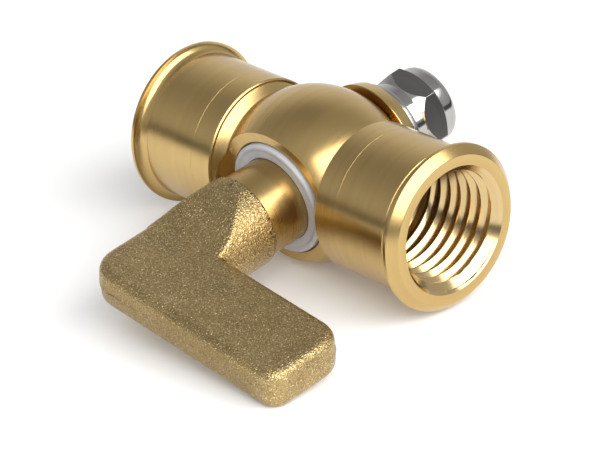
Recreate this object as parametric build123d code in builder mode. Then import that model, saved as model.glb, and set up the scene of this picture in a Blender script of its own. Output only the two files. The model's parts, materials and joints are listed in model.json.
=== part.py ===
"""Air cock: a turned brass body with two threaded ports and a plug that a cast L-shaped handle turns.

Millimetres and degrees. +X runs along the pipe axis from the inlet to the outlet, and +Z is up as the
cock lies on a table, resting on its ball and on the tip of its handle. The origin is on the pipe axis,
where the full thread of the inlet starts.
"""

import os
from math import cos, radians, sin, sqrt, tan

from build123d import *

# Body, turned from bar about the pipe axis
port_reach = 19.65        # valve centre to either end face
rim_radius = 8.6
rim_chamfer = 0.86        # on the front edge of each rim
rim_band = 0.35           # straight width of the rim behind that chamfer
rim_hollow = 1.04         # length of the rim's hollow back, down to the barrel
barrel_radius = 7.68
barrel_start = 7.75       # valve centre to the inner end of each barrel
barrel_edge = 0.15        # edge broken at that end
neck_radius = 6.7
ball_radius = 9.0

# Ports, tapped for a quarter inch pipe thread
tap_radius = 5.68         # crests of the thread
countersink_radius = 6.65
thread_depth = 10.4       # end face to the end of the straight wall
drill_point = 118.0       # full angle of the hollow that the drill leaves
port_radius = 2.5         # way through to the plug

# Cross bore for the plug, along the plug axis
lean = 8.5                # nut side of the plug axis raised, as the cock lies
front_flat = 5.42         # valve centre to the flat round the stem
front_flat_radius = 7.5
chamber_radius = 6.1
chamber_floor = 4.6       # valve centre to the inner face of the rear wall
chamber_edge = 0.15       # edge broken at the mouth of the chamber
rear_flat = 7.69          # valve centre to the flat under the tail washer
rear_flat_radius = 6.6
tail_hole_clearance = 0.15

# Sleeve, the plastic seat of the plug
sleeve_clearance = 0.06   # round the outside and at the floor
sleeve_proud = 0.42       # front end beyond the front flat
sleeve_edge = 0.25

# Plug and stem
stem_radius = 4.5
taper_start = 4.6         # valve centre to the front end of the taper
plug_taper = 3.6          # half angle of the tapered plug
plug_back = 4.2           # valve centre to the back end of the plug
running_clearance = 0.04  # plug to sleeve

# Threaded tail
tail_radius = 2.08
tail_proud = 0.45         # end of the tail beyond the nut
tail_edge = 0.4
tail_flats = 3.4          # across the two flats that turn the tail washer
tail_flats_start = 7.2

# Cast handle
handle_turn = 8.5         # arm below the pipe axis at rest
boss_radius = 4.9
boss_front = 10.2         # valve centre to the step from the stem to the boss
plate_inner = 17.1        # valve centre to the inner side of the arm
plate_outer = 27.0
plate_heel = 4.7          # plug axis to the side of the handle behind the arm
plate_root = 3.0          # plug axis to the other side of the plate's root, inside the neck
plate_start = 12.5        # valve centre to the end of that root
plate_tip = 21.9          # plug axis to the tip of the arm
plate_thickness = 4.3
plate_edge = 1.0          # rounding of the plate's long edges
plate_draft = 3.0         # each half tapers away from the parting line
heel_corner = 3.2
tip_outer_corner = 2.0
tip_inner_corner = 3.0
neck_run_in = 1.8         # how far the neck's slopes run on into the plate
neck_sink = 0.12          # ends of those slopes below the faces of the plate

# Washers and nut on the tail
washer_clearance = 0.05   # tail washer to the rear flat
tail_washer_thickness = 1.5
tail_washer_front_radius = 6.05
tail_washer_back_radius = 5.6
flat_washer_thickness = 1.0
flat_washer_radius = 5.0
flat_washer_bore = 2.3
fit_clearance = 0.03      # nut, insert and tail washer round the tail
nut_across_flats = 8.5
nut_height = 6.1
nut_turn = 43.5           # one corner of the hexagon from the pipe axis, at rest
base_radius = 4.2         # round foot of the nut
base_height = 1.4
front_chamfer = 57.0      # slope of the hexagon's corners up from the foot
hex_height = 2.8          # foot to collar
back_chamfer = 40.0       # slope of the corners down to the collar
collar_radius = 4.15
collar_edge = 1.0
insert_radius = 3.3
insert_front = 4.3        # front of the nut to the front of the insert
insert_height = 1.2
lip_radius = 2.5          # mouth of the collar, rolled over the insert

# Places that follow from the sizes above
countersink_depth = countersink_radius - tap_radius
centre = (port_reach - countersink_depth, 0, 0)
middle = Plane.YZ.offset(centre[0])
lean_cos, lean_sin = cos(radians(lean)), sin(radians(lean))
turn_cos, turn_sin = cos(radians(handle_turn)), sin(radians(handle_turn))
tail_direction = (0, lean_cos, lean_sin)
stem_direction = (0, -lean_cos, -lean_sin)
arm_direction = (turn_cos, turn_sin * lean_sin, -turn_sin * lean_cos)
plate_normal = (turn_sin, -turn_cos * lean_sin, turn_cos * lean_cos)

# Cross section through the pipe axis and the plug axis: first coordinate out from the plug axis, second
# along it towards the nut
plug_section = Plane(origin=centre, x_dir=(1, 0, 0), z_dir=(0, -lean_sin, lean_cos))
plug_axis = Axis(centre, tail_direction)

# The same section turned with the handle: first coordinate along the arm
handle_section = Plane(origin=centre, x_dir=arm_direction, z_dir=plate_normal)
plate_axis = Axis(centre, plate_normal)

# Seen along the plug axis, from the nut and from the handle
from_nut = Plane(origin=centre, x_dir=arm_direction, z_dir=tail_direction)
from_handle = Plane(origin=centre, x_dir=arm_direction, z_dir=stem_direction)

taper_back_radius = stem_radius - (plug_back + taper_start) * tan(radians(plug_taper))
tail_washer_front = rear_flat + washer_clearance
tail_washer_back = tail_washer_front + tail_washer_thickness
nut_front = tail_washer_back + flat_washer_thickness
nut_back = nut_front + nut_height
tail_end = nut_back + tail_proud
tail_bore = tail_radius + fit_clearance

# Body
face_x = -countersink_depth
rim_back = face_x + rim_chamfer + rim_band
barrel_front = rim_back + rim_hollow
ball_start = sqrt(ball_radius**2 - neck_radius**2)
with BuildPart() as body:
    with BuildSketch(Plane.XZ):
        with BuildLine():
            Polyline(
                (centre[0], 0),
                (face_x, 0),
                (face_x, rim_radius - rim_chamfer),
                (face_x + rim_chamfer, rim_radius),
                (rim_back, rim_radius),
            )
            TangentArc((barrel_front, barrel_radius), (rim_back, rim_radius), tangent=(-1, 0))
            Polyline(
                (barrel_front, barrel_radius),
                (centre[0] - barrel_start - barrel_edge, barrel_radius),
                (centre[0] - barrel_start, barrel_radius - barrel_edge),
                (centre[0] - barrel_start, neck_radius),
                (centre[0] - ball_start, neck_radius),
            )
            RadiusArc((centre[0] - ball_start, neck_radius), (centre[0], ball_radius), ball_radius)
            mirror(about=middle)
        make_face()
    revolve(axis=Axis.X)

    # Tapped ports: countersink, straight wall, drill point and the way through to the chamber
    wall_end = face_x + thread_depth
    point_length = (tap_radius - port_radius) / tan(radians(drill_point / 2))
    with BuildSketch(Plane.XZ):
        with BuildLine():
            Polyline(
                (centre[0], 0),
                (face_x, 0),
                (face_x, countersink_radius),
                (face_x + countersink_depth, tap_radius),
                (wall_end, tap_radius),
                (wall_end + point_length, port_radius),
                (centre[0], port_radius),
            )
            mirror(about=middle)
        make_face()
    revolve(axis=Axis.X, mode=Mode.SUBTRACT)

    # Flats before and behind the ball
    with BuildSketch(from_handle.offset(front_flat)):
        Circle(front_flat_radius)
    extrude(amount=ball_radius - front_flat, mode=Mode.SUBTRACT)
    with BuildSketch(from_nut.offset(rear_flat)):
        Circle(rear_flat_radius)
    extrude(amount=ball_radius - rear_flat, mode=Mode.SUBTRACT)

    # Chamber for the sleeve, and the hole for the tail
    with BuildSketch(plug_section):
        with BuildLine():
            Polyline(
                (0, -ball_radius),
                (chamber_radius + chamber_edge, -ball_radius),
                (chamber_radius + chamber_edge, -front_flat),
                (chamber_radius, -front_flat + chamber_edge),
                (chamber_radius, chamber_floor),
                (tail_radius + tail_hole_clearance, chamber_floor),
                (tail_radius + tail_hole_clearance, ball_radius),
                (0, ball_radius),
                close=True,
            )
        make_face()
    revolve(axis=plug_axis, mode=Mode.SUBTRACT)
body.part.label = "body"

# Sleeve: its bore follows the stem and the taper, a running clearance away
sleeve_radius = chamber_radius - sleeve_clearance
sleeve_front = -front_flat - sleeve_proud
sleeve_back = chamber_floor - sleeve_clearance
seat_radius = stem_radius + running_clearance
seat_back_radius = seat_radius - (sleeve_back + taper_start) * tan(radians(plug_taper))
with BuildPart() as sleeve:
    with BuildSketch(plug_section):
        with BuildLine():
            Polyline(
                (seat_radius, sleeve_front),
                (sleeve_radius - sleeve_edge, sleeve_front),
                (sleeve_radius, sleeve_front + sleeve_edge),
                (sleeve_radius, sleeve_back),
                (seat_back_radius, sleeve_back),
                (seat_radius, -taper_start),
                close=True,
            )
        make_face()
    revolve(axis=plug_axis)

    # One window for each port
    with BuildSketch(middle):
        Circle(port_radius)
    extrude(amount=chamber_radius, both=True, mode=Mode.SUBTRACT)
sleeve.part.label = "sleeve"

# Handle, boss, stem, plug and tail, one casting
plate_half = plate_thickness / 2
neck_end = plate_inner + neck_run_in
neck_end_height = plate_half - neck_sink
neck_side = Plane(origin=centre, x_dir=tail_direction, z_dir=arm_direction)
with BuildPart() as neck:
    # Slopes from the full height of the boss down to the plate, seen along the arm
    with BuildSketch(neck_side):
        with BuildLine():
            Line((-neck_end, 0), (-neck_end, neck_end_height))
            Spline(
                (-neck_end, neck_end_height),
                (-boss_front, boss_radius),
                tangents=((1, 0), (1, 0)),
            )
            Line((-boss_front, boss_radius), (-boss_front, 0))
            mirror(about=Plane.XZ)
        make_face()
    extrude(amount=boss_radius, both=True)

    # Trimmed to the round of the boss
    with BuildSketch(from_handle.offset(boss_front)):
        Circle(boss_radius)
    extrude(amount=neck_end - boss_front, mode=Mode.INTERSECT)

with BuildPart() as plug_handle:
    # Flat plate of the handle, drafted both ways from the parting line
    with BuildSketch(handle_section):
        with BuildLine():
            FilletPolyline(
                (-plate_heel, -plate_start),
                (-plate_heel, -plate_outer),
                (plate_tip, -plate_outer),
                (plate_tip, -plate_inner),
                (plate_root, -plate_inner),
                (plate_root, -plate_start),
                radius=(0, heel_corner, tip_outer_corner, tip_inner_corner, 0, 0),
                close=True,
            )
        make_face()
    extrude(amount=plate_half, both=True, taper=plate_draft)
    plate_faces = faces().sort_by(plate_axis)
    fillet(plate_faces[0].edges() + plate_faces[-1].edges(), plate_edge)
    add(neck.part)

    # Machined stem, tapered plug and threaded tail
    with BuildSketch(plug_section):
        with BuildLine():
            Polyline(
                (0, -boss_front),
                (stem_radius, -boss_front),
                (stem_radius, -taper_start),
                (taper_back_radius, plug_back),
                (tail_radius, plug_back),
                (tail_radius, tail_end - tail_edge),
                (tail_radius - tail_edge, tail_end),
                (0, tail_end),
                close=True,
            )
        make_face()
    revolve(axis=plug_axis)

    # Port across the plug, in line with the arm
    with BuildSketch(Plane(origin=centre, x_dir=plate_normal, z_dir=arm_direction)):
        Circle(port_radius)
    extrude(amount=stem_radius, both=True, mode=Mode.SUBTRACT)

    # Two flats on the tail
    with BuildSketch(from_nut.offset(tail_flats_start)):
        Circle(taper_back_radius)
        Rectangle(2 * taper_back_radius, tail_flats, mode=Mode.SUBTRACT)
    extrude(amount=tail_end - tail_flats_start, mode=Mode.SUBTRACT)
plug_handle.part.label = "plug_handle"

# Tail washer: tapered rim, and a hole with two flats that turns it with the plug
with BuildPart() as tail_washer:
    with BuildSketch(plug_section):
        with BuildLine():
            Polyline(
                (0, tail_washer_front),
                (tail_washer_front_radius, tail_washer_front),
                (tail_washer_back_radius, tail_washer_back),
                (0, tail_washer_back),
                close=True,
            )
        make_face()
    revolve(axis=plug_axis)
    with BuildSketch(from_nut.offset(tail_washer_front)):
        Circle(tail_bore)
        Rectangle(2 * tail_washer_back_radius, tail_flats + 2 * fit_clearance, mode=Mode.INTERSECT)
    extrude(amount=tail_washer_thickness, mode=Mode.SUBTRACT)
tail_washer.part.label = "tail_washer"

# Flat washer
with BuildPart() as flat_washer:
    with BuildSketch(from_nut.offset(tail_washer_back)):
        Circle(flat_washer_radius)
        Circle(flat_washer_bore, mode=Mode.SUBTRACT)
    extrude(amount=flat_washer_thickness)
flat_washer.part.label = "flat_washer"

# Lock nut: round foot, a hexagon with sloped corners, a round collar and the groove for the insert
hex_front = nut_front + base_height
hex_back = hex_front + hex_height
hex_corner = nut_across_flats / sqrt(3)
front_slope = (hex_corner - base_radius) * tan(radians(front_chamfer))
back_slope = (hex_corner - collar_radius) * tan(radians(back_chamfer))
insert_start = nut_front + insert_front
nut_plane = Plane(origin=centre, x_dir=(1, 0, 0), z_dir=stem_direction)
with BuildPart() as lock_nut:
    with BuildSketch(nut_plane.offset(-nut_front)):
        RegularPolygon(hex_corner, 6, rotation=nut_turn)
    extrude(amount=-nut_height)
    with BuildSketch(plug_section):
        with BuildLine():
            Polyline(
                (collar_radius - collar_edge, nut_back),
                (0, nut_back),
                (0, nut_front),
                (base_radius, nut_front),
                (base_radius, hex_front),
                (hex_corner, hex_front + front_slope),
                (hex_corner, hex_back - back_slope),
                (collar_radius, hex_back),
                (collar_radius, nut_back - collar_edge),
            )
            RadiusArc(
                (collar_radius, nut_back - collar_edge),
                (collar_radius - collar_edge, nut_back),
                -collar_edge,
            )
        make_face()
    revolve(axis=plug_axis, mode=Mode.INTERSECT)
    with BuildSketch(plug_section):
        with BuildLine():
            Polyline(
                (0, nut_front),
                (tail_bore, nut_front),
                (tail_bore, insert_start),
                (insert_radius, insert_start),
                (insert_radius, insert_start + insert_height),
                (lip_radius, insert_start + insert_height),
                (lip_radius, nut_back),
                (0, nut_back),
                close=True,
            )
        make_face()
    revolve(axis=plug_axis, mode=Mode.SUBTRACT)
lock_nut.part.label = "lock_nut"

# Nylon insert in the nut's collar
with BuildPart() as nylon_insert:
    with BuildSketch(from_nut.offset(insert_start)):
        Circle(insert_radius)
        Circle(tail_bore, mode=Mode.SUBTRACT)
    extrude(amount=insert_height)
nylon_insert.part.label = "nylon_insert"

os.makedirs("parts", exist_ok=True)
for piece in (body, sleeve, plug_handle, tail_washer, flat_washer, lock_nut, nylon_insert):
    export_step(piece.part, f"parts/{piece.part.label}.step")
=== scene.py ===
import json
from math import acos, asin, cos, pi, radians, sin, tan

import bmesh
import bpy
from mathutils import Matrix, Vector


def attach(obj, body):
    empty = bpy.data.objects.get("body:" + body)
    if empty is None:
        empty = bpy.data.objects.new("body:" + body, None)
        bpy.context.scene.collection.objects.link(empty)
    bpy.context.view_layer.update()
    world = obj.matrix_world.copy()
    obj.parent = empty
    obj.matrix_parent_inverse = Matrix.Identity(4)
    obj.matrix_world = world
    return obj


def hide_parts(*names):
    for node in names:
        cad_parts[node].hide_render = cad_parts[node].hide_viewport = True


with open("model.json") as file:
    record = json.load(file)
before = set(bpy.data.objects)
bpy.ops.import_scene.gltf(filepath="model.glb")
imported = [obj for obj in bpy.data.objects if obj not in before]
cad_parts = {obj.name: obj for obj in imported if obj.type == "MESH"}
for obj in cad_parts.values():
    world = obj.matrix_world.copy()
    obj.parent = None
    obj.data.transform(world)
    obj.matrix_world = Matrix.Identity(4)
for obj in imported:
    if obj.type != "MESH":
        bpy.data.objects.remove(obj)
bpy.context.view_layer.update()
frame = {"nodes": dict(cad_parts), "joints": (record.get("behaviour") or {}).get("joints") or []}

# Body. One length of brass bar, turned to a rimmed barrel at either end and a ball in the middle, with a
# groove on each side of the ball, then drilled and tapped from both ends and bored across for the plug.
# The lathe leaves fine rings on every face, and a fine line is scribed round each barrel.
MM = 0.001
MICRON = 0.000001
WELD = 0.0005
SEGMENTS = 160
plug_hinge = frame["joints"][0]
VALVE_CENTRE = Vector(plug_hinge["pos_m"]) / MM
PLUG_LEAN = asin(plug_hinge["axis"][2])
ON_PIPE = Matrix.Translation(VALVE_CENTRE)
ON_PLUG = ON_PIPE @ Matrix.Rotation(PLUG_LEAN, 4, "X") @ Matrix.Rotation(pi / 2, 4, "Z")
BRASS_LIGHT = (0.61, 0.43, 0.18, 1)
BRASS_DEEP = (0.54, 0.373, 0.15, 1)
TAPPED_LIGHT = (0.67, 0.505, 0.262, 1)
TAPPED_DEEP = (0.59, 0.43, 0.208, 1)
FINE_RINGS = 9000
COARSE_RINGS = 1100
HAND_PATCHES = 260
RING_SLANT = 1.7
COARSE_RELIEF = 1.2
TONE_BAND = (0.25, 0.75)
NOISE_BAND = (0.3, 0.7)


def maths(tree, operation, *terms):
    """One sum on numbers or on the outputs of other nodes."""
    node = tree.nodes.new("ShaderNodeMath")
    node.operation = operation
    for socket, term in zip(node.inputs, terms):
        if isinstance(term, (int, float)):
            socket.default_value = term
        else:
            tree.links.new(term, socket)
    return node.outputs[0]


def blend(tree, first, second, share):
    """So much of the first value, and the rest of the second."""
    kept = maths(tree, "MULTIPLY", first, share)
    return maths(tree, "ADD", kept, maths(tree, "MULTIPLY", second, 1 - share))


def split(tree, vector):
    """The X, Y and Z of a vector."""
    node = tree.nodes.new("ShaderNodeSeparateXYZ")
    tree.links.new(vector, node.inputs[0])
    return node.outputs


def spread(tree, value, low, high, to_low, to_high):
    """Brings a value from one range to another, and holds it there."""
    node = tree.nodes.new("ShaderNodeMapRange")
    tree.links.new(value, node.inputs["Value"])
    for name, number in zip(("From Min", "From Max", "To Min", "To Max"), (low, high, to_low, to_high)):
        node.inputs[name].default_value = number
    return node.outputs["Result"]


def speckle(tree, scale, detail=2.0, along=None, coords=None):
    """Noise on one coordinate, for rings, or all over the piece. The scale is in grains to the metre."""
    node = tree.nodes.new("ShaderNodeTexNoise")
    node.inputs["Scale"].default_value = scale
    node.inputs["Detail"].default_value = detail
    if along is not None:
        node.noise_dimensions = "1D"
        tree.links.new(along, node.inputs["W"])
    else:
        tree.links.new(coords, node.inputs["Vector"])
    return node.outputs[0]


def shade(tree, amount, first, second):
    """A colour between two others."""
    node = tree.nodes.new("ShaderNodeMix")
    node.data_type = "RGBA"
    tree.links.new(amount, node.inputs["Factor"])
    for socket in node.inputs:
        if socket.type == "RGBA":
            colour = first if socket.name == "A" else second
            if isinstance(colour, tuple):
                socket.default_value = colour
            else:
                tree.links.new(colour, socket)
    return [socket for socket in node.outputs if socket.type == "RGBA"][0]


def relief(tree, height, strength, distance, under=None):
    """Small heights in a finish, laid over other small heights where there are any."""
    node = tree.nodes.new("ShaderNodeBump")
    node.inputs["Strength"].default_value = strength
    node.inputs["Distance"].default_value = distance
    tree.links.new(height, node.inputs["Height"])
    if under is not None:
        tree.links.new(under, node.inputs["Normal"])
    return node.outputs["Normal"]


def new_finish(name, metallic):
    """A new finish, with its tree and its shader. Metallic is 1 for a metal and 0 for the rest."""
    finish = bpy.data.materials.new(name)
    finish.use_nodes = True
    shader = finish.node_tree.nodes["Principled BSDF"]
    shader.inputs["Metallic"].default_value = metallic
    return finish, finish.node_tree, shader


def axis_coords(tree, place):
    """Object coordinates laid along the axis that a piece was turned on."""
    coords = tree.nodes.new("ShaderNodeTexCoord")
    laid = tree.nodes.new("ShaderNodeMapping")
    laid.vector_type = "TEXTURE"
    laid.inputs["Location"].default_value = place.translation * MM
    laid.inputs["Rotation"].default_value = place.to_euler()
    tree.links.new(coords.outputs["Object"], laid.inputs["Vector"])
    return laid.outputs[0]


def lathe_finish(name, place, light, deep, smooth, rough, mark):
    """Metal off the lathe: rings of tool marks about its axis, and faint patches from handling."""
    finish, tree, shader = new_finish(name, 1)
    coords = axis_coords(tree, place)
    spot = split(tree, coords)
    squares = maths(tree, "ADD", maths(tree, "POWER", spot["Y"], 2), maths(tree, "POWER", spot["Z"], 2))
    out = maths(tree, "SQRT", squares)
    across = maths(tree, "ADD", spot["X"], maths(tree, "MULTIPLY", out, RING_SLANT))
    fine = speckle(tree, FINE_RINGS, 3, along=across)
    coarse = speckle(tree, COARSE_RINGS, 2, along=across)
    patch = speckle(tree, HAND_PATCHES, 3, coords=coords)
    tone = spread(tree, blend(tree, coarse, patch, 0.6), *TONE_BAND, 0, 1)
    tree.links.new(shade(tree, tone, light, deep), shader.inputs["Base Color"])
    worn = spread(tree, blend(tree, fine, patch, 0.5), *NOISE_BAND, smooth, rough)
    tree.links.new(worn, shader.inputs["Roughness"])
    rings = relief(tree, fine, 1, mark)
    tree.links.new(relief(tree, coarse, 1, mark * COARSE_RELIEF, rings), shader.inputs["Normal"])
    return finish


def shape_tree(name, sizes):
    """A new Geometry Nodes tree with named inputs, and the outputs of its input node."""
    tree = bpy.data.node_groups.new(name, "GeometryNodeTree")
    tree.interface.new_socket("Blank", in_out="INPUT", socket_type="NodeSocketGeometry")
    for size, kind in sizes.items():
        tree.interface.new_socket(size, in_out="INPUT", socket_type=kind)
    tree.interface.new_socket("Finish", in_out="INPUT", socket_type="NodeSocketMaterial")
    tree.interface.new_socket("Piece", in_out="OUTPUT", socket_type="NodeSocketGeometry")
    return tree, tree.nodes.new("NodeGroupInput").outputs


def sheet_spot(tree, axis):
    """How far along a flat sheet a point lies on one axis, from 0 to 1."""
    place = tree.nodes.new("GeometryNodeInputPosition").outputs[0]
    return maths(tree, "ADD", split(tree, place)[axis], 0.5)


def rolled_sheet(tree, inputs, rows, along, out):
    """A sheet rolled about X and welded: along and out give the place of each of its points."""
    sheet = tree.nodes.new("GeometryNodeMeshGrid")
    sheet.inputs["Size X"].default_value = 1
    sheet.inputs["Size Y"].default_value = 1
    tree.links.new(maths(tree, "ADD", inputs["Segments"], 1), sheet.inputs["Vertices X"])
    tree.links.new(rows, sheet.inputs["Vertices Y"])
    turn = maths(tree, "MULTIPLY", sheet_spot(tree, "X"), 2 * pi)
    place = tree.nodes.new("ShaderNodeCombineXYZ")
    tree.links.new(along, place.inputs["X"])
    tree.links.new(maths(tree, "MULTIPLY", out, maths(tree, "COSINE", turn)), place.inputs["Y"])
    tree.links.new(maths(tree, "MULTIPLY", out, maths(tree, "SINE", turn)), place.inputs["Z"])
    roll = tree.nodes.new("GeometryNodeSetPosition")
    tree.links.new(sheet.outputs["Mesh"], roll.inputs["Geometry"])
    tree.links.new(place.outputs[0], roll.inputs["Position"])
    weld = tree.nodes.new("GeometryNodeMergeByDistance")
    weld.inputs["Distance"].default_value = WELD
    tree.links.new(roll.outputs[0], weld.inputs["Geometry"])
    return weld.outputs[0]


def end_tree(tree, inputs, geometry):
    """The last nodes of every tree: real geometry, and its finish."""
    real = tree.nodes.new("GeometryNodeRealizeInstances")
    coat = tree.nodes.new("GeometryNodeSetMaterial")
    result = tree.nodes.new("NodeGroupOutput")
    tree.links.new(geometry, real.inputs["Geometry"])
    tree.links.new(real.outputs[0], coat.inputs["Geometry"])
    tree.links.new(inputs["Finish"], coat.inputs["Material"])
    tree.links.new(coat.outputs[0], result.inputs["Piece"])


def lathe_tree():
    """Turns a line of points, X along the axis and Y out from it, into a skin."""
    tree, inputs = shape_tree("turned_skin", {"Segments": "NodeSocketInt"})
    count = tree.nodes.new("GeometryNodeAttributeDomainSize")
    tree.links.new(inputs["Blank"], count.inputs[0])
    points = count.outputs["Point Count"]
    last = maths(tree, "SUBTRACT", points, 1)
    row = maths(tree, "ROUND", maths(tree, "MULTIPLY", sheet_spot(tree, "Y"), last))
    pick = tree.nodes.new("GeometryNodeSampleIndex")
    pick.data_type = "FLOAT_VECTOR"
    tree.links.new(inputs["Blank"], pick.inputs["Geometry"])
    tree.links.new(tree.nodes.new("GeometryNodeInputPosition").outputs[0], pick.inputs["Value"])
    tree.links.new(row, pick.inputs["Index"])
    picked = split(tree, pick.outputs[0])
    end_tree(tree, inputs, rolled_sheet(tree, inputs, points, picked["X"], picked["Y"]))
    return tree


THREAD_CREST = 0.09
THREAD_ROOT = 0.92


def thread_tree():
    """A right-hand threaded wall, X inwards from its mouth. Side is 1 for a hole and -1 for a stud."""
    sizes = {name: "NodeSocketInt" for name in ("Segments", "Turns", "Turn Rows")}
    lengths = ("Side", "Crest Radius", "Groove Depth", "Pitch", "Length", "Mouth Radius", "Run Out")
    sizes.update({name: "NodeSocketFloat" for name in lengths})
    tree, inputs = shape_tree("threaded_wall", sizes)
    climb = maths(tree, "MULTIPLY", sheet_spot(tree, "Y"), inputs["Turns"])
    along = maths(tree, "SUBTRACT", maths(tree, "ADD", climb, sheet_spot(tree, "X")), 1)
    depth = maths(tree, "MAXIMUM", maths(tree, "MULTIPLY", along, inputs["Pitch"]), 0)
    depth = maths(tree, "MINIMUM", depth, inputs["Length"])
    flank = maths(tree, "PINGPONG", maths(tree, "MULTIPLY", climb, 2), 1)
    cut = spread(tree, flank, THREAD_CREST, THREAD_ROOT, 0, 1)
    left = maths(tree, "DIVIDE", maths(tree, "SUBTRACT", inputs["Length"], depth), inputs["Run Out"])
    fading = maths(tree, "MULTIPLY", cut, maths(tree, "MINIMUM", left, 1))
    groove = maths(tree, "MULTIPLY", fading, inputs["Groove Depth"])
    wall = maths(tree, "ADD", maths(tree, "MULTIPLY", inputs["Crest Radius"], inputs["Side"]), groove)
    mouth = maths(tree, "SUBTRACT", maths(tree, "MULTIPLY", inputs["Mouth Radius"], inputs["Side"]), depth)
    out = maths(tree, "MULTIPLY", maths(tree, "MAXIMUM", wall, mouth), inputs["Side"])
    rows = maths(tree, "MULTIPLY_ADD", inputs["Turns"], inputs["Turn Rows"], 1)
    end_tree(tree, inputs, rolled_sheet(tree, inputs, rows, depth, out))
    return tree


def shaped(tree, blank, **sizes):
    """The plain mesh that a tree makes of a blank, in millimetres."""
    carrier = bpy.data.objects.new(tree.name, blank)
    bpy.context.collection.objects.link(carrier)
    modifier = carrier.modifiers.new(tree.name, "NODES")
    modifier.node_group = tree
    for item in tree.interface.items_tree:
        key = item.name.lower().replace(" ", "_")
        if item.in_out == "INPUT" and key in sizes:
            modifier[item.identifier] = sizes[key]
    graph = bpy.context.evaluated_depsgraph_get()
    made = bpy.data.meshes.new_from_object(carrier.evaluated_get(graph), depsgraph=graph)
    carrier.modifiers.remove(modifier)
    bpy.data.objects.remove(carrier)
    return made


turned_skin = lathe_tree()
threaded_wall = thread_tree()


def turned(line, finish):
    """The skin that a line of (x, y) points sweeps as the work turns about X."""
    blank = bpy.data.meshes.new("blank")
    blank.from_pydata([(x, y, 0) for x, y in line], [(i, i + 1) for i in range(len(line) - 1)], [])
    return shaped(turned_skin, blank, segments=SEGMENTS, finish=finish)


def threaded(finish, **sizes):
    """A threaded wall about X, its mouth at the origin."""
    return shaped(threaded_wall, bpy.data.meshes.new("blank"), segments=SEGMENTS, finish=finish, **sizes)


def eased(corners, steps=4):
    """A line through corners (x, y, radius), each eased by its radius."""
    line = []
    for i, (x, y, radius) in enumerate(corners):
        here = Vector((x, y))
        if not radius:
            line.append((x, y))
            continue
        before = (Vector(corners[i - 1][:2]) - here).normalized()
        after = (Vector(corners[(i + 1) % len(corners)][:2]) - here).normalized()
        half = acos(max(-1, min(1, before.dot(after)))) / 2
        middle = here + (before + after).normalized() * (radius / sin(half))
        start = here + before * (radius / tan(half)) - middle
        end = here + after * (radius / tan(half)) - middle
        for k in range(steps + 1):
            spoke = (start * (steps - k) + end * k).normalized() * radius
            line.append(tuple(middle + spoke))
    return line


def joined(name, *parts):
    """One object of several meshes, each with its place, welded where they meet."""
    whole = bmesh.new()
    finishes = []
    for mesh, place in parts:
        mesh.transform(place)
        finish = [coat for coat in mesh.materials if coat][0]
        if finish not in finishes:
            finishes.append(finish)
        for face in mesh.polygons:
            face.material_index = finishes.index(finish)
        whole.from_mesh(mesh)
    bmesh.ops.remove_doubles(whole, verts=whole.verts, dist=WELD)
    bmesh.ops.recalc_face_normals(whole, faces=whole.faces)
    mesh = bpy.data.meshes.new(name)
    whole.to_mesh(mesh)
    whole.free()
    for finish in finishes:
        mesh.materials.append(finish)
    piece = bpy.data.objects.new(name, mesh)
    bpy.context.collection.objects.link(piece)
    return piece


def plain(piece):
    """Makes what the piece's modifiers give its own mesh."""
    graph = bpy.context.evaluated_depsgraph_get()
    mesh = bpy.data.meshes.new_from_object(piece.evaluated_get(graph), depsgraph=graph)
    piece.modifiers.clear()
    piece.data = mesh


def carved(piece, tool, operation="DIFFERENCE"):
    """Cuts a tool out of a piece, or keeps only what lies inside the tool. The cut faces take its finish."""
    modifier = piece.modifiers.new(operation, "BOOLEAN")
    modifier.operation = operation
    modifier.object = tool
    modifier.solver = "EXACT"
    modifier.material_mode = "TRANSFER"
    plain(piece)
    bpy.data.objects.remove(tool)


def fixed(piece, body_name, node, crease=32):
    """Takes a piece from millimetres to its place on the cock. The crease is in degrees."""
    piece.data.transform(Matrix.Scale(MM, 4))
    piece.data.shade_smooth()
    piece.data.set_sharp_from_angle(angle=radians(crease))
    even = piece.modifiers.new("even", "WEIGHTED_NORMAL")
    even.keep_sharp = True
    plain(piece)
    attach(piece, body_name)
    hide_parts(node)


turned_brass = lathe_finish(
    "turned_brass", ON_PIPE, BRASS_LIGHT, BRASS_DEEP, smooth=0.19, rough=0.28, mark=0.6 * MICRON
)
tree = turned_brass.node_tree
shader = tree.nodes["Principled BSDF"]
shader.inputs["Anisotropic"].default_value = 0.3
rings = tree.nodes.new("ShaderNodeTangent")
rings.direction_type = "RADIAL"
rings.axis = "X"
tree.links.new(rings.outputs[0], shader.inputs["Tangent"])
tapped_brass = lathe_finish(
    "tapped_brass", ON_PIPE, TAPPED_LIGHT, TAPPED_DEEP, smooth=0.12, rough=0.22, mark=0.6 * MICRON
)

PORT_FACE = 19.65
MOUTH_RADIUS = 6.65
RIM_RADIUS = 8.6
RIM_BEVEL = 0.86
RIM_BAND = 0.35
RIM_EASE = 0.1
rim = eased(
    [
        (PORT_FACE, MOUTH_RADIUS, 0),
        (PORT_FACE, RIM_RADIUS - RIM_BEVEL, RIM_EASE),
        (PORT_FACE - RIM_BEVEL, RIM_RADIUS, RIM_EASE),
        (PORT_FACE - RIM_BEVEL - RIM_BAND, RIM_RADIUS, 0),
    ]
)
BARREL_RADIUS = 7.68
HOLLOW_FOOT = 17.4
HOLLOW_STEP = 0.06
HOLLOW_RADIUS = 1.048
HOLLOW_REACH = radians(83)
HOLLOW_ROWS = 10
hollow_turns = [HOLLOW_REACH * (1 - k / HOLLOW_ROWS) for k in range(1, HOLLOW_ROWS + 1)]
hollow = [
    (HOLLOW_FOOT + HOLLOW_RADIUS * sin(a), BARREL_RADIUS - HOLLOW_STEP + HOLLOW_RADIUS * (1 - cos(a)))
    for a in hollow_turns
]
BALL_RADIUS = 9.0
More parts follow.
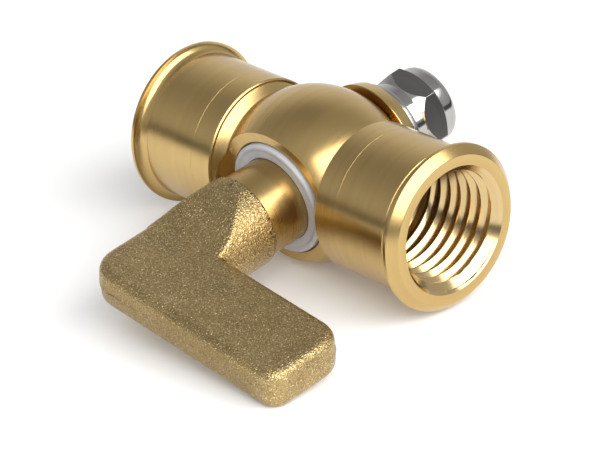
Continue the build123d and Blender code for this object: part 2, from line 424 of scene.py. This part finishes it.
BALL_CURVE = 10.4
BALL_ROWS = 24
GROOVE_RADIUS = 6.47
ball_reach = acos((GROOVE_RADIUS + BALL_CURVE - BALL_RADIUS) / BALL_CURVE)
groove_at = BALL_CURVE * sin(ball_reach)
ball_turns = [ball_reach * (1 - k / BALL_ROWS) for k in range(1, BALL_ROWS + 1)]
ball = [(BALL_CURVE * sin(a), BALL_CURVE * cos(a) - BALL_CURVE + BALL_RADIUS) for a in ball_turns]
SCRIBED_AT = 10.55
SCRIBED_HALF = 0.011
BARREL_END = 7.75
BARREL_BEVEL = 0.15
BARREL_EASE = 0.06
GROOVE_LIP = 0.38
LIP_EASE = 0.05
barrel = eased(
    [
        (HOLLOW_FOOT - HOLLOW_STEP, BARREL_RADIUS, 0),
        (SCRIBED_AT + SCRIBED_HALF, BARREL_RADIUS, 0),
        (SCRIBED_AT, BARREL_RADIUS - SCRIBED_HALF, 0),
        (SCRIBED_AT - SCRIBED_HALF, BARREL_RADIUS, 0),
        (BARREL_END + BARREL_BEVEL, BARREL_RADIUS, BARREL_EASE),
        (BARREL_END, BARREL_RADIUS - BARREL_BEVEL, BARREL_EASE),
        (BARREL_END, BARREL_RADIUS - GROOVE_LIP, LIP_EASE),
        (groove_at, GROOVE_RADIUS, 0),
    ]
)
outside = rim + hollow + barrel + ball
outside += [(-x, y) for x, y in reversed(outside[:-1])]

TAP_RADIUS = 5.68
TAP_DEPTH = 10.4
WAY_RADIUS = 2.5
DRILL_END = 7.279
wall_end = PORT_FACE - TAP_DEPTH
inside = [(wall_end, TAP_RADIUS), (DRILL_END, WAY_RADIUS), (-DRILL_END, WAY_RADIUS), (-wall_end, TAP_RADIUS)]
pipe_thread = {
    "turns": 9,
    "turn_rows": 24,
    "side": 1.0,
    "crest_radius": TAP_RADIUS,
    "groove_depth": 0.8,
    "pitch": 1.411,
    "length": TAP_DEPTH,
    "mouth_radius": MOUTH_RADIUS,
    "run_out": 1.6,
}
end_for_end = Matrix.Rotation(pi, 4, "Z")
into_port = end_for_end @ Matrix.Translation((-PORT_FACE, 0, 0))
body = joined(
    "body_turned",
    (turned(outside, turned_brass), ON_PIPE),
    (turned(inside, tapped_brass), ON_PIPE),
    (threaded(tapped_brass, **pipe_thread), ON_PIPE @ into_port),
    (threaded(tapped_brass, **pipe_thread), ON_PIPE @ end_for_end @ into_port),
)

FRONT_FLAT = -5.42
FRONT_CUTTER = 7.5
CHAMBER_RADIUS = 6.1
CHAMBER_BEVEL = 0.15
CHAMBER_FLOOR = 4.6
TAIL_HOLE = 2.23
BACK_FLAT = 7.69
BACK_CUTTER = 6.6
CUTTER_REACH = 9.6
cross_bore = [
    (-CUTTER_REACH, 0),
    (-CUTTER_REACH, FRONT_CUTTER),
    (FRONT_FLAT, FRONT_CUTTER),
    (FRONT_FLAT, CHAMBER_RADIUS + CHAMBER_BEVEL),
    (FRONT_FLAT + CHAMBER_BEVEL, CHAMBER_RADIUS),
    (CHAMBER_FLOOR, CHAMBER_RADIUS),
    (CHAMBER_FLOOR, TAIL_HOLE),
    (BACK_FLAT, TAIL_HOLE),
    (BACK_FLAT, BACK_CUTTER),
    (CUTTER_REACH, BACK_CUTTER),
    (CUTTER_REACH, 0),
]
carved(body, joined("cross_bore", (turned(cross_bore, turned_brass), ON_PLUG)))
fixed(body, "valve_body", "body")

# Sleeve. The seat of the plug, moulded in a waxy white plastic and pressed into the cross bore. Its front
# end stands a little proud as a ring round the stem, and each port has its own window in the wall.
WAX_LIGHT = (0.63, 0.64, 0.68, 1)
WAX_DEEP = (0.53, 0.54, 0.58, 1)
WAX_DEPTH = 0.6 * MM
WAX_CLOUDS = 420
WAX_SCUFFS = 2600
sleeve_plastic, tree, shader = new_finish("waxy_plastic", 0)
shader.inputs["Specular IOR Level"].default_value = 0.4
shader.inputs["Subsurface Weight"].default_value = 0.15
shader.inputs["Subsurface Radius"].default_value = (WAX_DEPTH, WAX_DEPTH, WAX_DEPTH)
coords = axis_coords(tree, ON_PLUG)
cloud = spread(tree, speckle(tree, WAX_CLOUDS, 3, coords=coords), *NOISE_BAND, 0, 1)
scuff = speckle(tree, WAX_SCUFFS, 4, coords=coords)
tree.links.new(shade(tree, cloud, WAX_LIGHT, WAX_DEEP), shader.inputs["Base Color"])
tree.links.new(spread(tree, scuff, *NOISE_BAND, 0.3, 0.5), shader.inputs["Roughness"])
tree.links.new(relief(tree, scuff, 0.5, 10 * MICRON), shader.inputs["Normal"])

SLEEVE_RADIUS = 6.04
SLEEVE_EASE = 0.26
RING_FRONT = -5.84
RING_DISH = 0.14
DISH_RADIUS = 5.3
DISH_EASE = 0.2
LIP_RADIUS = 5.62
SEAT_RADIUS = 4.54
SEAT_EASE = 0.06
SEAT_START = -4.6
SEAT_END = 4.54
PLUG_TAPER = radians(3.6)
seat_narrow = SEAT_RADIUS - (SEAT_END - SEAT_START) * tan(PLUG_TAPER)
sleeve_line = eased(
    [
        (SEAT_START, SEAT_RADIUS, 0),
        (RING_FRONT + RING_DISH, SEAT_RADIUS, SEAT_EASE),
        (RING_FRONT + RING_DISH, DISH_RADIUS, DISH_EASE),
        (RING_FRONT, LIP_RADIUS, DISH_EASE),
        (RING_FRONT, SLEEVE_RADIUS, SLEEVE_EASE),
        (SEAT_END, SLEEVE_RADIUS, 0),
        (SEAT_END, seat_narrow, 0),
        (SEAT_START, SEAT_RADIUS, 0),
    ]
)
sleeve = joined("sleeve_seat", (turned(sleeve_line, sleeve_plastic), ON_PLUG))
DRILL_REACH = 8
way_through = [(-DRILL_REACH, 0), (-DRILL_REACH, WAY_RADIUS), (DRILL_REACH, WAY_RADIUS), (DRILL_REACH, 0)]
carved(sleeve, joined("window", (turned(way_through, sleeve_plastic), ON_PIPE)))
fixed(sleeve, "valve_body", "sleeve")

# Plug and handle. One sand casting in brass: the flat handle keeps the grain of the sand and the line where
# the two halves of the mould met, and its sides are darkened with painted shade. The stem, the tapered plug
# with its port and the threaded tail with its two flats are machined on it afterwards.
HANDLE_TURN = radians(8.5)
ON_HANDLE = ON_PLUG @ Matrix.Rotation(HANDLE_TURN, 4, "X")
SIDE_FACING = 0.5
SAND_GRAINS = 5200
GLINT_GRAINS = 7600
STAINS = 330
PITS = 1900
SEAM_WAVES = 700
CAST_DARK = (0.305, 0.218, 0.096, 1)
CAST_PALE = (0.53, 0.383, 0.169, 1)
PAINTED_GLINT = (0.95, 0.79, 0.49, 1)
CAST_PIT = (0.06, 0.04, 0.018, 1)
SIDE_SHADE_COLOUR = (0.2, 0.13, 0.04, 1)
SIDE_SHADE_SHARE = 0.45
TORN_SHARE = 0.8
SEAM_WANDER = 0.6 * MM
SEAM_WIDTH = (0.03, 0.11)
PLATE_SIDE = (1.2, 1.9)
PLATE_END = (-17.2, -16.2)
ARM_TIP = (-20.5, -18)
HEEL = (-3, 1)
STEM_FOOT = (-12.1, -10.6)
PALE_BAND = (0.36, 0.62)
SPARK_BAND = (0.68, 0.75)
SHINE_BAND = (0.35, 0.7)
PIT_BAND = (0.6, 0.66)


def cast_tree():
    """Sand grain all over a casting, and a low ridge on its edges at the parting line, Z = 0."""
    lengths = ("Grain Size", "Grain Height", "Ridge Height", "Ridge Width", "Seed")
    tree, inputs = shape_tree("sand_cast_skin", {name: "NodeSocketFloat" for name in lengths})
    place = tree.nodes.new("GeometryNodeInputPosition").outputs[0]
    normal = tree.nodes.new("GeometryNodeInputNormal").outputs[0]
    grain = tree.nodes.new("ShaderNodeTexNoise")
    grain.noise_dimensions = "4D"
    grain.inputs["Detail"].default_value = 1.5
    tree.links.new(place, grain.inputs["Vector"])
    tree.links.new(inputs["Seed"], grain.inputs["W"])
    tree.links.new(maths(tree, "DIVIDE", 1, inputs["Grain Size"]), grain.inputs["Scale"])
    rise = maths(tree, "MULTIPLY", maths(tree, "SUBTRACT", grain.outputs[0], 0.5), inputs["Grain Height"])
    off_line = maths(tree, "ABSOLUTE", split(tree, place)["Z"])
    off_line = maths(tree, "DIVIDE", off_line, inputs["Ridge Width"])
    near = maths(tree, "MAXIMUM", maths(tree, "SUBTRACT", 1, off_line), 0)
    edge = maths(tree, "LESS_THAN", maths(tree, "ABSOLUTE", split(tree, normal)["Z"]), SIDE_FACING)
    ridge = maths(tree, "MULTIPLY", maths(tree, "MULTIPLY", near, edge), inputs["Ridge Height"])
    move = tree.nodes.new("ShaderNodeVectorMath")
    move.operation = "SCALE"
    tree.links.new(normal, move.inputs[0])
    tree.links.new(maths(tree, "ADD", rise, ridge), move.inputs["Scale"])
    skin = tree.nodes.new("GeometryNodeSetPosition")
    tree.links.new(inputs["Blank"], skin.inputs["Geometry"])
    tree.links.new(move.outputs[0], skin.inputs["Offset"])
    end_tree(tree, inputs, skin.outputs[0])
    return tree


def fade(tree, value, start, end, to_start, to_end):
    """Goes from one share to another between two places, in millimetres."""
    return spread(tree, value, start * MM, end * MM, to_start, to_end)


cast_brass, tree, shader = new_finish("sand_cast_brass", 1)
coords = axis_coords(tree, ON_HANDLE)
spot = split(tree, coords)
sand = speckle(tree, SAND_GRAINS, 2, coords=coords)
glint = speckle(tree, GLINT_GRAINS, 0, coords=coords)
stain = speckle(tree, STAINS, 4, coords=coords)
pale = spread(tree, blend(tree, sand, stain, 0.7), *PALE_BAND, 0, 1)
skin_colour = shade(tree, pale, CAST_DARK, CAST_PALE)
# painted glints: the brightest sand grains take a pale, near white colour
skin_colour = shade(tree, spread(tree, glint, *SPARK_BAND, 0, 1), skin_colour, PAINTED_GLINT)
# painted shade: the sides of the handle plate, away from its tip, are darkened towards a deep brown
on_side = fade(tree, maths(tree, "ABSOLUTE", spot["Z"]), *PLATE_SIDE, 1, 0)
on_plate = fade(tree, spot["X"], *PLATE_END, 1, 0)
off_tip = fade(tree, spot["Y"], *ARM_TIP, 0, SIDE_SHADE_SHARE)
painted_side_shade = maths(tree, "MULTIPLY", maths(tree, "MULTIPLY", on_side, on_plate), off_tip)
skin_colour = shade(tree, painted_side_shade, skin_colour, SIDE_SHADE_COLOUR)
waves = speckle(tree, SEAM_WAVES, 1, coords=coords)
wander = maths(tree, "MULTIPLY_ADD", waves, SEAM_WANDER, -SEAM_WANDER / 2)
seam = fade(tree, maths(tree, "ABSOLUTE", maths(tree, "ADD", spot["Z"], wander)), *SEAM_WIDTH, 1, 0)
torn = maths(tree, "MULTIPLY", seam, fade(tree, spot["Y"], *HEEL, 0, TORN_SHARE))
pits = spread(tree, speckle(tree, PITS, 1, coords=coords), *PIT_BAND, 0, 1)
pitted = maths(tree, "MULTIPLY", pits, fade(tree, spot["X"], *STEM_FOOT, 0, 1))
skin_colour = shade(tree, maths(tree, "MAXIMUM", torn, pitted), skin_colour, CAST_PIT)
tree.links.new(skin_colour, shader.inputs["Base Color"])
tree.links.new(spread(tree, glint, *SHINE_BAND, 0.36, 0.16), shader.inputs["Roughness"])
grain_relief = relief(tree, sand, 1, 90 * MICRON)
tree.links.new(relief(tree, glint, 1, 60 * MICRON, grain_relief), shader.inputs["Normal"])

CAST_END = -10.26
CAST_VOXEL = 0.13
SOFTEN_PASSES = 22
blank = frame["nodes"]["plug_handle"].data.copy()
blank.transform(ON_HANDLE.inverted() @ Matrix.Scale(1 / MM, 4))
rough = bmesh.new()
rough.from_mesh(blank)
bmesh.ops.remove_doubles(rough, verts=rough.verts, dist=WELD)
sawn = bmesh.ops.bisect_plane(
    rough,
    geom=rough.verts[:] + rough.edges[:] + rough.faces[:],
    plane_co=(CAST_END, 0, 0),
    plane_no=(1, 0, 0),
    clear_outer=True,
)
bmesh.ops.holes_fill(rough, edges=[e for e in sawn["geom_cut"] if isinstance(e, bmesh.types.BMEdge)])
rough.to_mesh(blank)
rough.free()
blank.materials.clear()
blank.materials.append(cast_brass)
casting = bpy.data.objects.new("casting", blank)
bpy.context.collection.objects.link(casting)
remesh = casting.modifiers.new("cast", "REMESH")
remesh.mode = "VOXEL"
remesh.voxel_size = CAST_VOXEL
soften = casting.modifiers.new("soften", "SMOOTH")
soften.factor = 0.5
soften.iterations = SOFTEN_PASSES
plain(casting)
cast_skin = shaped(
    cast_tree(),
    casting.data,
    grain_size=0.34,
    grain_height=0.06,
    ridge_height=0.07,
    ridge_width=0.22,
    seed=3.0,
    finish=cast_brass,
)
bpy.data.objects.remove(casting)

STEM_LIGHT = (0.55, 0.384, 0.16, 1)
STEM_DEEP = (0.48, 0.328, 0.128, 1)
stem_brass = lathe_finish(
    "stem_brass", ON_PLUG, STEM_LIGHT, STEM_DEEP, smooth=0.24, rough=0.36, mark=0.8 * MICRON
)
STEM_RADIUS = 4.5
STEM_START = -11.6
STEM_EASE = 0.3
PLUG_END = 4.2
PLUG_EASE = 0.2
TAIL_RADIUS = 2.08
TAIL_EASE = 0.1
TAIL_END = 16.79
TAIL_TIP = 1.68
TAIL_THREAD = 6.4
plug_narrow = STEM_RADIUS - (PLUG_END - SEAT_START) * tan(PLUG_TAPER)
stem_line = eased(
    [
        (STEM_START, 0, 0),
        (STEM_START, STEM_RADIUS, 0),
        (SEAT_START, STEM_RADIUS, STEM_EASE),
        (PLUG_END, plug_narrow, PLUG_EASE),
        (PLUG_END, TAIL_RADIUS, TAIL_EASE),
        (TAIL_END - TAIL_THREAD, TAIL_RADIUS, 0),
    ]
)
tail_thread = threaded(
    stem_brass,
    turns=10,
    turn_rows=12,
    side=-1.0,
    crest_radius=TAIL_RADIUS,
    groove_depth=0.4,
    pitch=0.794,
    length=TAIL_THREAD,
    mouth_radius=TAIL_TIP,
    run_out=0.8,
)
stem = joined(
    "stem",
    (turned(stem_line, stem_brass), ON_PLUG),
    (turned([(TAIL_END, 0), (TAIL_END, TAIL_TIP)], stem_brass), ON_PLUG),
    (tail_thread, ON_PLUG @ Matrix.Translation((TAIL_END, 0, 0)) @ end_for_end),
)
across_plug = ON_HANDLE @ Matrix.Rotation(pi / 2, 4, "Z")
carved(stem, joined("plug_port", (turned(way_through, stem_brass), across_plug)))


def prism(outline, near, far, finish):
    """An outline of (y, z) points, drawn out along X."""
    count = len(outline)
    mesh = bpy.data.meshes.new("prism")
    points = [(near, y, z) for y, z in outline] + [(far, y, z) for y, z in outline]
    sides = [(i, (i + 1) % count, (i + 1) % count + count, i + count) for i in range(count)]
    mesh.from_pydata(points, [], sides + [tuple(range(count)), tuple(range(count, 2 * count))])
    mesh.materials.append(finish)
    return mesh


FLAT_HALF = 1.7
FLAT_START = 7.2
MILL_HALF = 3
MILL_END = 18
for side in (1, -1):
    near, far = side * FLAT_HALF, side * MILL_HALF
    flat = [(-MILL_HALF, near), (MILL_HALF, near), (MILL_HALF, far), (-MILL_HALF, far)]
    carved(stem, joined("tail_flat", (prism(flat, FLAT_START, MILL_END, stem_brass), ON_HANDLE)))
plug = joined("plug_cast", (cast_skin, ON_HANDLE), (stem.data, Matrix()))
bpy.data.objects.remove(stem)
fixed(plug, "plug", "plug_handle", 40)

# Tail washer. Turned in brass with a tapered rim, its hole has two flats that lock it to the tail, so it
# turns with the plug and rubs on the small flat behind the ball.
WASHER_LIGHT = (0.64, 0.465, 0.21, 1)
WASHER_FRONT = 7.74
WASHER_BACK = 9.24
WASHER_RADIUS = 6.05
WASHER_NARROW = 5.6
washer_brass = lathe_finish(
    "washer_brass", ON_PLUG, WASHER_LIGHT, BRASS_DEEP, smooth=0.18, rough=0.32, mark=1 * MICRON
)
washer_line = eased(
    [
        (WASHER_FRONT, 0, 0),
        (WASHER_FRONT, WASHER_RADIUS, 0.08),
        (WASHER_BACK, WASHER_NARROW, 0.12),
        (WASHER_BACK, 0, 0),
    ]
)
tail_washer = joined("tail_washer_turned", (turned(washer_line, washer_brass), ON_PLUG))
KEY_RADIUS = 2.11
KEY_HALF = 1.73
KEY_ROWS = 6
BROACH_START = 7
BROACH_END = 10
key_reach = asin(KEY_HALF / KEY_RADIUS)
key_turns = [side + key_reach * (k / KEY_ROWS - 1) for side in (0, pi) for k in range(2 * KEY_ROWS + 1)]
keyhole = [(KEY_RADIUS * cos(a), KEY_RADIUS * sin(a)) for a in key_turns]
carved(tail_washer, joined("keyhole", (prism(keyhole, BROACH_START, BROACH_END, washer_brass), ON_HANDLE)))
fixed(tail_washer, "plug", "tail_washer")

# Flat washer. Stamped from plated steel strip, with one edge rounded by the punch. It lies on the tail
# washer, and the nut presses on it.
STEEL_LIGHT = (0.5, 0.49, 0.468, 1)
STEEL_DEEP = (0.42, 0.412, 0.395, 1)
FLAT_BACK = 10.24
FLAT_RADIUS = 5.0
FLAT_HOLE = 2.3
washer_steel = lathe_finish(
    "plated_steel", ON_PLUG, STEEL_LIGHT, STEEL_DEEP, smooth=0.12, rough=0.26, mark=0.8 * MICRON
)
flat_line = eased(
    [
        (WASHER_BACK, FLAT_HOLE, 0),
        (WASHER_BACK, FLAT_RADIUS, 0.12),
        (FLAT_BACK, FLAT_RADIUS, 0.3),
        (FLAT_BACK, FLAT_HOLE, 0.1),
        (WASHER_BACK, FLAT_HOLE, 0),
    ]
)
flat_washer = joined("flat_washer_stamped", (turned(flat_line, washer_steel), ON_PLUG))
fixed(flat_washer, "plug", "flat_washer")

# Lock nut. Cold formed in steel and bright nickel plated: a round foot, a hexagon whose corners slope off
# to either side, and a collar rolled over the locking ring. The flats of the hexagon are coloured darker
# than the foot and the collar, as painted dark reflections.
NICKEL_LIGHT = (0.5, 0.485, 0.465, 1)
NICKEL_DEEP = (0.43, 0.417, 0.4, 1)
# painted dark reflections: the hexagon flats take a darker colour than the rest of the nut
DARKENED_FLATS_LIGHT = (0.28, 0.271, 0.263, 1)
DARKENED_FLATS_DEEP = (0.22, 0.213, 0.207, 1)
nut_nickel = lathe_finish(
    "bright_nickel", ON_PLUG, NICKEL_LIGHT, NICKEL_DEEP, smooth=0.06, rough=0.13, mark=0.4 * MICRON
)
nut_flats_painted_dark = lathe_finish(
    "nickel_flats", ON_PLUG, DARKENED_FLATS_LIGHT, DARKENED_FLATS_DEEP, smooth=0.07, rough=0.14, mark=0.4 * MICRON
)
NUT_BORE = 2.11
NUT_CORNER = 4.907
CORNER_SPARE = 0.02
FOOT_RADIUS = 4.2
FOOT_END = 11.64
HEXAGON_START = 12.73
HEXAGON_END = 13.8
COLLAR_RADIUS = 4.15
COLLAR_START = 14.44
COLLAR_END = 16.34
COLLAR_ROLL = 0.98
COLLAR_MOUTH = 2.5
RING_SEAT = 3.3
RING_START = 14.54
RING_END = 15.74
nut_line = eased(
    [
        (FLAT_BACK, NUT_BORE, 0),
        (FLAT_BACK, FOOT_RADIUS, 0.25),
        (FOOT_END, FOOT_RADIUS, 0.12),
        (HEXAGON_START, NUT_CORNER + CORNER_SPARE, 0.3),
        (HEXAGON_END, NUT_CORNER + CORNER_SPARE, 0.2),
        (COLLAR_START, COLLAR_RADIUS, 0.15),
        (COLLAR_END, COLLAR_RADIUS, COLLAR_ROLL),
        (COLLAR_END, COLLAR_MOUTH, 0.15),
        (RING_END, COLLAR_MOUTH, 0),
        (RING_END, RING_SEAT, 0),
        (RING_START, RING_SEAT, 0),
        (RING_START, NUT_BORE, 0),
        (FLAT_BACK, NUT_BORE, 0),
    ],
    steps=6,
)
nut = joined("lock_nut_formed", (turned(nut_line, nut_nickel), ON_PLUG))
NUT_TURN = 136.5
CORNER_EASE = 0.14
DIE_START = 9
DIE_END = 18
ease_middle = NUT_CORNER - CORNER_EASE / cos(radians(30))
hexagon = []
for corner in range(6):
    pointing = radians(NUT_TURN + 60 * corner)
    for swing in (-30, -15, 0, 15, 30):
        spoke = pointing + radians(swing)
        y = ease_middle * cos(pointing) + CORNER_EASE * cos(spoke)
        z = ease_middle * sin(pointing) + CORNER_EASE * sin(spoke)
        hexagon.append((y, z))
carved(nut, joined("hexagon", (prism(hexagon, DIE_START, DIE_END, nut_flats_painted_dark), ON_PLUG)), "INTERSECT")
fixed(nut, "plug", "lock_nut", 24)

# Locking ring. A ring of milky nylon held in the nut's collar. The tail presses its own thread into it,
# which keeps the nut from working loose.
NYLON_LIGHT = (0.74, 0.73, 0.69, 1)
NYLON_DEEP = (0.64, 0.63, 0.59, 1)
NYLON_DEPTH = 0.8 * MM
NYLON_CLOUDS = 900
RING_GAP = 0.01
RING_EASE = 0.12
insert_nylon, tree, shader = new_finish("milky_nylon", 0)
shader.inputs["Subsurface Weight"].default_value = 0.2
shader.inputs["Subsurface Radius"].default_value = (NYLON_DEPTH, NYLON_DEPTH, NYLON_DEPTH)
cloud = speckle(tree, NYLON_CLOUDS, 3, coords=axis_coords(tree, ON_PLUG))
milk = spread(tree, cloud, *NOISE_BAND, 0, 1)
tree.links.new(shade(tree, milk, NYLON_LIGHT, NYLON_DEEP), shader.inputs["Base Color"])
tree.links.new(spread(tree, cloud, *NOISE_BAND, 0.3, 0.45), shader.inputs["Roughness"])
ring_line = eased(
    [
        (RING_START, NUT_BORE, 0),
        (RING_START, RING_SEAT - RING_GAP, 0),
        (RING_END - RING_GAP, RING_SEAT - RING_GAP, 0),
        (RING_END - RING_GAP, NUT_BORE, RING_EASE),
        (RING_START, NUT_BORE, 0),
    ]
)
insert = joined("locking_ring", (turned(ring_line, insert_nylon), ON_PLUG))
fixed(insert, "plug", "nylon_insert")

# Table. A round of matt white card, 21 cm across, with the cock lying on it. A faint glow of its own keeps
# it white in the picture and in what the brass mirrors of it.
TABLE_TOP = -0.009
TABLE_RADIUS = 0.105
TABLE_SIDES = 120
TABLE_GLOW = 0.1
TABLE_WHITE = (0.94, 0.94, 0.94, 1)
WHITE = (1, 1, 1, 1)


def looked_at(tree):
    """1 where the camera sees a surface straight or mirrored in the metal, 0 where it only lights others."""
    path = tree.nodes.new("ShaderNodeLightPath").outputs
    mirrored = maths(tree, "ADD", path["Is Glossy Ray"], path["Is Transmission Ray"])
    return maths(tree, "MINIMUM", maths(tree, "ADD", path["Is Camera Ray"], mirrored), 1)


table_white, tree, shader = new_finish("table_white", 0)
shader.inputs["Base Color"].default_value = TABLE_WHITE
shader.inputs["Emission Color"].default_value = WHITE
tree.links.new(maths(tree, "MULTIPLY", looked_at(tree), TABLE_GLOW), shader.inputs["Emission Strength"])
shader.inputs["Roughness"].default_value = 0.9
shader.inputs["Specular IOR Level"].default_value = 0.1
under_cock = VALVE_CENTRE * MM
edge_turns = [radians(360 * k / TABLE_SIDES) for k in range(TABLE_SIDES)]
table_edge = [(under_cock.x + TABLE_RADIUS * cos(a), TABLE_RADIUS * sin(a), TABLE_TOP) for a in edge_turns]
board = bpy.data.meshes.new("table")
board.from_pydata(table_edge, [], [range(TABLE_SIDES)])
board.materials.append(table_white)
table = bpy.data.objects.new("table", board)
bpy.context.collection.objects.link(table)

# Light. One soft box stands to the right of the cock and above it, and a weaker panel fills in from the far
# left. The studio round them is pale, with a white wall behind the cock, two grey cards hung high up, a dark
# line of room at the height of the table and a white floor below it.
SOFT_SIZE = (1.05, 0.6)
SOFT_POWER = 7.7
SOFT_FROM = (-5, 38)
SOFT_AWAY = 0.7
FILL_SIZE = 0.8
FILL_POWER = 0.65
FILL_FROM = (171, 60)
FILL_AWAY = 0.8


def toward(azimuth, elevation):
    """A direction from the cock, in degrees round it and up."""
    flat = cos(radians(elevation))
    return Vector((flat * cos(radians(azimuth)), flat * sin(radians(azimuth)), sin(radians(elevation))))


def hung(light, direction, away):
    """Hangs a light so far from the cock, facing it."""
    panel = bpy.data.objects.new(light.name, light)
    bpy.context.collection.objects.link(panel)
    panel.location = VALVE_CENTRE * MM + direction * away
    panel.rotation_euler = direction.to_track_quat("Z", "Y").to_euler()
    return panel


soft = bpy.data.lights.new("soft_box", "AREA")
soft.shape = "RECTANGLE"
soft.size, soft.size_y = SOFT_SIZE
soft.energy = SOFT_POWER
hung(soft, toward(*SOFT_FROM), SOFT_AWAY)
fill = bpy.data.lights.new("fill", "AREA")
fill.size = FILL_SIZE
fill.energy = FILL_POWER
fill_panel = hung(fill, toward(*FILL_FROM), FILL_AWAY)
fill_panel.visible_glossy = False

STUDIO_LEVEL = 0.54
WALL_SIDE = 140
WALL_LIFT = 0.32
GREY_CARDS = ((-172, 52, -0.2), (95, 64, -0.12))
LINE_HEIGHT = 0.01
LINE_HALF = (0.07, 0.12)
LINE_LEVEL = 0.2
FLOOR_EDGE = (-0.1, -0.06)
studio = bpy.data.worlds.new("studio")
bpy.context.scene.world = studio
studio.use_nodes = True
tree = studio.node_tree
facing = tree.nodes.new("ShaderNodeTexCoord").outputs["Generated"]


def card(azimuth, elevation, inner, outer):
    """1 within the inner angle of a direction, 0 past the outer one."""
    node = tree.nodes.new("ShaderNodeVectorMath")
    node.operation = "DOT_PRODUCT"
    tree.links.new(facing, node.inputs[0])
    node.inputs[1].default_value = toward(azimuth, elevation)
    return spread(tree, node.outputs["Value"], cos(radians(outer)), cos(radians(inner)), 0, 1)


height = split(tree, facing)["Z"]
shaded = maths(tree, "MULTIPLY_ADD", card(WALL_SIDE, 5, inner=10, outer=55), WALL_LIFT, STUDIO_LEVEL)
for azimuth, elevation, lift in GREY_CARDS:
    shaded = maths(tree, "MULTIPLY_ADD", card(azimuth, elevation, inner=5, outer=42), lift, shaded)
from_line = maths(tree, "ABSOLUTE", maths(tree, "SUBTRACT", height, LINE_HEIGHT))
dark_line = spread(tree, from_line, *LINE_HALF, LINE_LEVEL, 1)
room = maths(tree, "MAXIMUM", dark_line, card(WALL_SIDE, 0, inner=45, outer=75))
around = maths(tree, "MULTIPLY", shaded, room)
white_floor = maths(tree, "MULTIPLY", spread(tree, height, *FLOOR_EDGE, 1, 0), looked_at(tree))
tree.links.new(maths(tree, "MAXIMUM", around, white_floor), tree.nodes["Background"].inputs["Strength"])
tree.nodes["Background"].inputs["Color"].default_value = WHITE
bpy.context.scene.view_settings.view_transform = "Standard"

# Camera. A long lens stands a little above the cock, on the side of its handle, and looks into the outlet.
# It leans a few degrees, as a camera held in the hand does.
CAMERA_PLACE = (0.2757, -0.22842, 0.16458)
CAMERA_TURN = (63.6098, 2.9228, 47.2617)
CAMERA_LENS = 227.27
camera = bpy.data.objects.new("camera", bpy.data.cameras.new("camera"))
bpy.context.collection.objects.link(camera)
camera.location = CAMERA_PLACE
camera.rotation_euler = [radians(angle) for angle in CAMERA_TURN]
camera.data.lens = CAMERA_LENS
camera.data.sensor_width = 36
camera.data.clip_start = 0.01
bpy.context.scene.camera = camera
